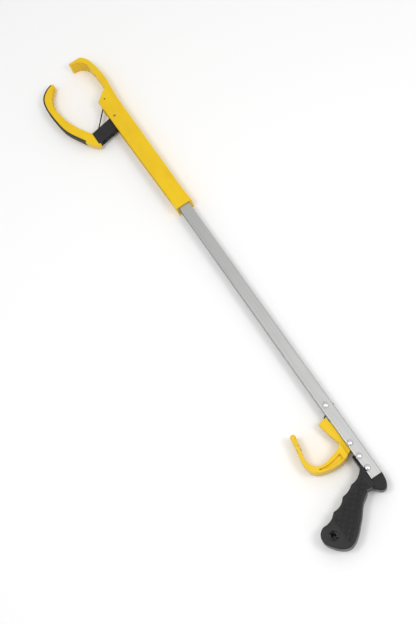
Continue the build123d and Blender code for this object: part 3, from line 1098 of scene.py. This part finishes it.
@dataclass
class Trigger:
    """The yellow trigger."""

    paints: Paints
    rim: float = 1.6 * MM
    nose_rim: float = 1.0 * MM
    nose_half: float = 4.8 * MM
    pocket_rim: float = 0.5 * MM
    pocket_depth: float = 3.4 * MM
    hook_top: float = 15 * MM
    fade: float = 8 * MM

    def build(self) -> None:
        """Make the trigger."""
        bm = copy_of_node("trigger_lever")
        low, high = box_of("trigger_lever")
        middle = (low.z + high.z) / 2
        half = (high.z - low.z) / 2
        top = middle_of("trigger_pivot_rivet").y - self.hook_top

        def width_at(point: Vector, outward: Vector) -> float:
            """The rims' radius, which fades to nothing towards the top of the hook."""
            return self.rim * min(1.0, max(0.0, (top - point.y) / self.fade))

        round_rims(bm, middle, half, self.rim, width_at, reach=self.pocket_depth + self.rim)
        round_rims(bm, middle, half, self.pocket_rim, steps=3)
        round_rims(bm, middle, self.nose_half, self.nose_rim, steps=4)
        stands_for = ["trigger_lever"]
        finish_piece("trigger_moulded", bm, Body.TRIGGER, Slot.YELLOW, self.paints, stands_for)


@dataclass
class Grip:
    """The black pistol grip with its woven side panels, in millimetres from the grip's rear end."""

    paints: Paints
    rim: float = 0.3 * MM
    front: Sequence[tuple[float, float]] = (
        (-59.5, -14.0),
        (-51.5, -38.5),
        (-42.6, -56.5),
        (-36.8, -71.5),
    )
    back: Sequence[tuple[float, float]] = (
        (-5.5, -71.5),
        (-7.0, -66.0),
        (-17.4, -53.6),
        (-28.3, -43.0),
        (-39.0, -33.0),
        (-46.9, -22.5),
        (-47.8, -14.0),
    )
    panel_depth: float = 0.8
    cell: float = 4.8
    strands: int = 3
    strand_length: float = 4.4
    strand_share: float = 0.86
    strand_edge: float = 0.3 * MM
    sunk_by: float = 0.03 * MM
    columns: range = range(-14, 1)
    rows: range = range(-16, -1)
    probe_step: float = 0.4
    probes: int = 12
    shortest: float = 1.3
    border: float = 0.5

    def build(self) -> None:
        """Make the grip and both woven panels."""
        bm = copy_of_node("handle_grip")
        low, high = box_of("handle_grip")
        round_rims(bm, (low.z + high.z) / 2, (high.z - low.z) / 2, self.rim, steps=3)
        finish_piece("grip_moulded", bm, Body.FRAME, Slot.GRIP, self.paints, ["handle_grip"])
        strand = self.strand()
        for side, name in ((1, "grip_weave_near"), (-1, "grip_weave_far")):
            weave = bmesh.new()
            for place in self.places(side):
                join_into(weave, strand, place)
            finish_piece(name, weave, Body.FRAME, Slot.GRIP, self.paints)
        strand.free()

    def origin(self) -> Vector:
        """The rear end of the shaft's middle line."""
        low, high = box_of("shaft_channel")
        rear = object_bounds()[1][0]
        return Vector((rear, (low.y + high.y) / 2, (low.z + high.z) / 2))

    def strand(self) -> bmesh.types.BMesh:
        """One raised strand along X, rounded on every edge.

        Returns:
            The strand.
        """
        bm = bmesh.new()
        bmesh.ops.create_cube(bm, size=1.0)
        wide = self.cell / self.strands * self.strand_share * MM
        size = (self.strand_length * MM, wide, self.panel_depth * MM)
        bmesh.ops.scale(bm, verts=bm.verts, vec=size)
        rounding = {"offset": self.strand_edge, "segments": 2, "profile": 0.5}
        rounding |= {"affect": "EDGES", "material": -1, "clamp_overlap": True}
        bmesh.ops.bevel(bm, geom=bm.edges[:], **rounding)
        return bm

    def inside(self, x: float, y: float) -> bool:
        """Whether a point is on the panel, clear of its border."""
        offsets = (-self.border, self.border)
        return all(self.on_panel(x + dx, y + dy) for dx in offsets for dy in offsets)

    def on_panel(self, x: float, y: float) -> bool:
        """Whether a point is inside the panel's outline.

        Args:
            x: The point's x.
            y: The point's y.

        Returns:
            True where it is inside.
        """
        outline = [*self.front, *self.back]
        hits = 0
        for (x0, y0), (x1, y1) in zip(outline, outline[1:] + outline[:1]):
            if (y0 > y) != (y1 > y) and x < x0 + (y - y0) * (x1 - x0) / (y1 - y0):
                hits += 1
        return hits % 2 == 1

    def places(self, side: int) -> Iterator[Matrix]:
        """Where each strand goes on one panel.

        Args:
            side: 1 for the upper panel and -1 for the lower.

        Yields:
            The place and stretch of a strand.
        """
        origin = self.origin()
        half = box_of("handle_grip")[1].z - origin.z
        height = origin.z + side * (half - self.panel_depth / 2 * MM - self.sunk_by)
        step = self.cell / self.strands
        for column in self.columns:
            for row in self.rows:
                upright = (column + row) % 2
                for index in range(self.strands):
                    across = (index + 0.5) * step
                    run = self.run(column * self.cell, row * self.cell, across, upright)
                    if run is None:
                        continue
                    x, y, length = run
                    spot = Matrix.Translation((origin.x + x * MM, origin.y + y * MM, height))
                    turn = Matrix.Rotation(math.pi / 2 * upright, 4, "Z")
                    yield spot @ turn @ Matrix.Diagonal((length / self.strand_length, 1, 1, 1))

    def run(
        self,
        x: float,
        y: float,
        across: float,
        upright: int,
    ) -> tuple[float, float, float] | None:
        """The longest stretch of one strand that stays on the panel.

        Args:
            x: The cell's lowest x.
            y: The cell's lowest y.
            across: How far across the cell the strand lies.
            upright: 1 where the strand runs along Y.

        Returns:
            The stretch's middle and length, or None where it is too short.
        """
        steps = [self.probe_step / 2 + index * self.probe_step for index in range(self.probes)]
        spots = [(x + across, y + way) if upright else (x + way, y + across) for way in steps]
        on = [way for way, spot in zip(steps, spots) if self.inside(*spot)]
        if not on or on[-1] - on[0] < self.shortest:
            return None
        middle = (on[0] + on[-1]) / 2
        length = on[-1] - on[0]
        return (x + across, y + middle, length) if upright else (x + middle, y + across, length)


@dataclass
class PullCord:
    """The braided cord from the lower jaw's arm to the trigger, in five stretches and two knots."""

    paints: Paints
    radius: float = 1.0 * MM
    strand: float = 0.3 * MM
    weave_depth: float = 0.09 * MM
    pitch: float = 8 * MM
    arm_lean: float = math.radians(9.8)
    fray: int = 9
    fray_spread: float = 0.55 * MM
    fibre: float = 0.16 * MM
    knot_steps: int = 18
    knot_lift: float = 1.15
    knot_start: float = 4.4
    tail_place: tuple[float, float, float] = (3.4, 1.4, 0.6)
    jaw_lead: float = -5.7
    jaw_lump: tuple[float, float] = (12.4, -31.0)
    jaw_knot_size: float = 0.95
    trigger_lead: float = -43.2
    trigger_lump: tuple[float, float] = (-36.2, -9.2)
    trigger_knot_size: float = 0.6

    def build(self) -> None:
        """Make every stretch, from the jaw's knot to the trigger's."""
        names = ("run", "jaw_end", "trigger_end")
        run, jaw, trigger = (self.ends(f"pull_cord_{name}") for name in names)
        self.stretch("pull_cord_run", Body.CORD, run, 4, 0)
        self.stretch("pull_cord_jaw_end", Body.JAW_CORD, jaw, 5, 1)
        self.stretch("pull_cord_trigger_end", Body.TRIGGER_CORD, trigger, 5, 1)
        front = self.turn(middle_of("cord_guide_pin"), run[0], jaw[0])
        rear = self.turn(middle_of("rear_guide_spacer"), run[1], trigger[1])
        self.stretch("pull_cord_jaw_turn", Body.FRAME, front, 5, 1)
        self.stretch("pull_cord_trigger_turn", Body.FRAME, rear, 5, 1)
        self.jaw_knot()
        self.trigger_knot()

    def ends(self, node: str) -> list[Vector]:
        """The two ends of a straight stretch's middle line.

        Args:
            node: The stretch's CAD node.

        Returns:
            The ends, the front one first.
        """
        points = [vert.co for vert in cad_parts[node].data.vertices]
        first, last = min(points, key=lambda p: p.x), max(points, key=lambda p: p.x)
        near = {tuple(p) for p in points if (p - first).length < (p - last).length}
        far = {tuple(p) for p in points} - near
        return [self.middle(near), self.middle(far)]

    def middle(self, points: set[tuple[float, ...]]) -> Vector:
        """The middle of the box round some points."""
        axes = list(zip(*points))
        return Vector((min(axis) + max(axis)) / 2 for axis in axes)

    def turn(self, centre: Vector, start: Vector, end: Vector) -> list[Vector]:
        """A line round a guide, the short way.

        Args:
            centre: The guide's middle.
            start: Where the cord meets it.
            end: Where the cord leaves it.

        Returns:
            The line.
        """
        arms = [point - centre for point in (start, end)]
        angles = [math.atan2(arm.y, arm.x) for arm in arms]
        swing = (angles[1] - angles[0] + math.pi) % math.tau - math.pi
        reach = (arms[0].length + arms[1].length) / 2
        line = [start]
        for step in range(1, 16):
            angle = angles[0] + swing * step / 16
            line.append(centre + Vector((math.cos(angle), math.sin(angle), 0.0)) * reach)
        return line + [end]

    def braid(self, line: Sequence[Vector], strands: int, fineness: int) -> bmesh.types.BMesh:
        """Strands that wind both ways round a line, over and under each other, on a plain core.

        Args:
            line: The cord's middle line.
            strands: The strands that wind each way.
            fineness: The fineness of their round section.

        Returns:
            The cord.
        """
        line = even_line(line, self.pitch / (4 * strands))
        across = Vector((0, 0, 1))
        paths: list[list[Vector]] = [[] for _ in range(2 * strands)]
        travelled = 0.0
        for index, point in enumerate(line):
            before, after = line[max(index - 1, 0)], line[min(index + 1, len(line) - 1)]
            travelled += (point - before).length
            along = (after - before).normalized()
            across = (across - along * across.dot(along)).normalized()
            side = along.cross(across)
            for number, path in enumerate(paths):
                way = 1 if number < strands else -1
                wound = math.tau * travelled / self.pitch
                angle = way * (wound + math.tau * (number % strands) / strands)
                over = strands * wound + math.pi * (number % strands)
                lift = way * self.weave_depth * math.cos(over)
                reach = self.radius - self.strand - self.weave_depth + lift
                path.append(point + (across * math.cos(angle) + side * math.sin(angle)) * reach)
        cord = round_strands(paths, self.strand, fineness)
        core = round_strands([line[::2] + [line[-1]]], self.radius - self.strand, 1)
        join_into(cord, core)
        core.free()
        return cord

    def stretch(
        self,
        node: str,
        body: Body,
        line: Sequence[Vector],
        strands: int,
        fineness: int,
    ) -> None:
        """One stretch of the cord.

        Args:
            node: The CAD node that it replaces.
            body: The body it rides on.
            line: Its middle line.
            strands: The strands that wind each way.
            fineness: The fineness of their round section.
        """
        cord = self.braid(line, strands, fineness)
        finish_piece(f"{node}_braided", cord, body, Slot.CORD, self.paints, [node])

    def knot(
        self,
        place: Callable[[float, float, float], Vector],
        lead: float,
        centre: tuple[float, float],
        size: float,
    ) -> bmesh.types.BMesh:
        """A stub, an overhand knot pulled into a lump, and a short frayed tail.

        Args:
            place: Turns a local point in millimetres into a point of the row frame.
            lead: Where the stub starts, along the local first axis.
            centre: The lump's middle.
            size: A third of the lump's half width.

        Returns:
            The knot.
        """
        lump = centre[0] - self.knot_start * size
        points = [place(lead, centre[1], 0.0), place(lump, centre[1], 0.0)]
        for step in range(1, self.knot_steps):
            turn = math.tau * step / self.knot_steps + math.pi
            x = size * (math.sin(turn) + 2 * math.sin(2 * turn))
            y = size * (math.cos(turn) - 2 * math.cos(2 * turn))
            height = -self.knot_lift * size * math.sin(3 * turn)
            points.append(place(centre[0] + x, centre[1] + y, height))
        right, up, out = (share * size for share in self.tail_place)
        tail = place(centre[0] + right, centre[1] + up, out)
        points.append(tail)
        line = smooth_line(points)
        cord = self.braid(line, 5, 1)
        fibres = []
        for number in range(self.fray):
            angle = math.tau * number / self.fray
            around = Vector((math.cos(angle), math.sin(angle), math.sin(2.3 * angle)))
            spread = around * self.fray_spread
            onward = (line[-1] - line[-4]).normalized() * (0.9 + 0.25 * math.sin(5 * angle)) * MM
            fibres.append([tail, tail + onward * 0.5 + spread * 0.4, tail + onward + spread])
        ends = round_strands(fibres, self.fibre, 0)
        join_into(cord, ends)
        ends.free()
        return cord

    def jaw_knot(self) -> None:
        """The cord's end through the jaw's arm, knotted behind it."""
        hinge = middle_of("jaw_hinge_pin")
        lean = Matrix.Rotation(self.arm_lean, 3, "Z")

        def place(across: float, along: float, height: float) -> Vector:
            """A point in millimetres along the leaning arm, in the row frame."""
            return hinge + lean @ Vector((across, along, height)) * MM

        knot = self.knot(place, self.jaw_lead, self.jaw_lump, self.jaw_knot_size)
        finish_piece("jaw_knot_tied", knot, Body.JAW, Slot.CORD, self.paints, ["jaw_cord_knot"])

    def trigger_knot(self) -> None:
        """The cord's end in the trigger's nose, knotted in its pocket."""
        pivot = middle_of("trigger_pivot_rivet")

        def place(x: float, y: float, height: float) -> Vector:
            """A point in millimetres from the pivot, in the row frame."""
            return pivot + Vector((x, y, height)) * MM

        knot = self.knot(place, self.trigger_lead, self.trigger_lump, self.trigger_knot_size)
        stands_for = ["trigger_cord_knot"]
        finish_piece("trigger_knot_tied", knot, Body.TRIGGER, Slot.CORD, self.paints, stands_for)


# --- the studio --------------------------------------------------------------------------------


@dataclass
class Studio:
    """The pale floor, the soft lights and the camera."""

    floor_size: float = 8.0
    floor_drop: float = 0.2 * MM
    floor_colour: tuple[float, float, float] = (0.93, 0.93, 0.93)
    eye: Vector = field(default_factory=lambda: Vector((0.57039, -0.06482, 1.22804)))
    forward: Vector = field(default_factory=lambda: Vector((-0.39191, 0.03827, -0.91921)))
    up: Vector = field(default_factory=lambda: Vector((-0.7588, 0.55152, 0.34648)))
    lens: float = 57.79
    sensor: float = 36.0
    nearest: float = 0.05
    ambient: float = 0.7
    left_power: float = 5.0
    right_power: float = 4.4
    box_size: float = 0.42
    box_aside: float = 0.62
    box_above: float = 0.25
    overhead_place: Vector = field(default_factory=lambda: Vector((-0.3, 0.9, 1.9)))
    overhead_size: float = 1.4
    overhead_power: float = 2.5
    aim: Vector = field(default_factory=lambda: Vector((0.05, 0.03, 0.01)))

    def build(self) -> None:
        """Set up everything round the object."""
        self.floor()
        self.world()
        self.lights()
        self.camera()

    def floor(self) -> None:
        """A wide pale floor just below the object."""
        bm = bmesh.new()
        bmesh.ops.create_grid(bm, x_segments=1, y_segments=1, size=self.floor_size / 2)
        bmesh.ops.translate(bm, verts=bm.verts, vec=(0, 0, -self.floor_drop))
        mesh = bpy.data.meshes.new("floor")
        bm.to_mesh(mesh)
        bm.free()
        mesh.materials.append(Backdrop("floor", self.floor_colour).make())
        floor = bpy.data.objects.new("floor", mesh)
        bpy.context.scene.collection.objects.link(floor)
        floor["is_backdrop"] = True

    def world(self) -> None:
        """Even pale light from all round."""
        world = bpy.data.worlds.new("studio")
        world.use_nodes = True
        background = world.node_tree.nodes["Background"]
        background.inputs["Color"].default_value = (1, 1, 1, 1)
        background.inputs["Strength"].default_value = self.ambient
        bpy.context.scene.world = world

    def lights(self) -> None:
        """Two softboxes either side of the camera and a wide one overhead."""
        right = self.forward.cross(self.up).normalized()
        for side, power in ((-1, self.left_power), (1, self.right_power)):
            aside = right * side * self.box_aside
            place = self.eye + aside + self.up.normalized() * self.box_above
            name = f"softbox_{'left' if side < 0 else 'right'}"
            self.softbox(name, place, self.box_size, power)
        self.softbox("overhead", self.overhead_place, self.overhead_size, self.overhead_power)

    def softbox(self, name: str, place: Vector, size: float, power: float) -> None:
        """An area light that faces the object.

        Args:
            name: The light's name.
            place: Where it stands.
            size: The side of its square face.
            power: Its power in watts.
        """
        light = bpy.data.lights.new(name, "AREA")
        light.shape = "SQUARE"
        light.size = size
        light.energy = power
        holder = bpy.data.objects.new(name, light)
        holder.location = place
        holder.rotation_mode = "QUATERNION"
        holder.rotation_quaternion = (self.aim - place).to_track_quat("-Z", "Y")
        bpy.context.scene.collection.objects.link(holder)

    def camera(self) -> None:
        """The camera, above the grip and looking down the shaft."""
        data = bpy.data.cameras.new("camera")
        data.lens = self.lens
        data.sensor_width = self.sensor
        data.clip_start = self.nearest
        camera = bpy.data.objects.new("camera", data)
        back = -self.forward.normalized()
        right = self.up.cross(back).normalized()
        turned = Matrix((right, back.cross(right), back)).transposed().to_4x4()
        camera.matrix_world = Matrix.Translation(self.eye) @ turned
        bpy.context.scene.collection.objects.link(camera)
        bpy.context.scene.camera = camera


def main() -> None:
    """Build the studio and every sub-assembly."""
    logging.basicConfig(level=logging.INFO, format="%(name)s %(message)s")
    bpy.context.scene.view_settings.view_transform = "Standard"
    Studio().build()
    paints = Paints()
    for maker in (Shaft, Head, MovingJaw, Trigger, Grip, PullCord):
        maker(paints).build()


if __name__ == "__main__":
    main()
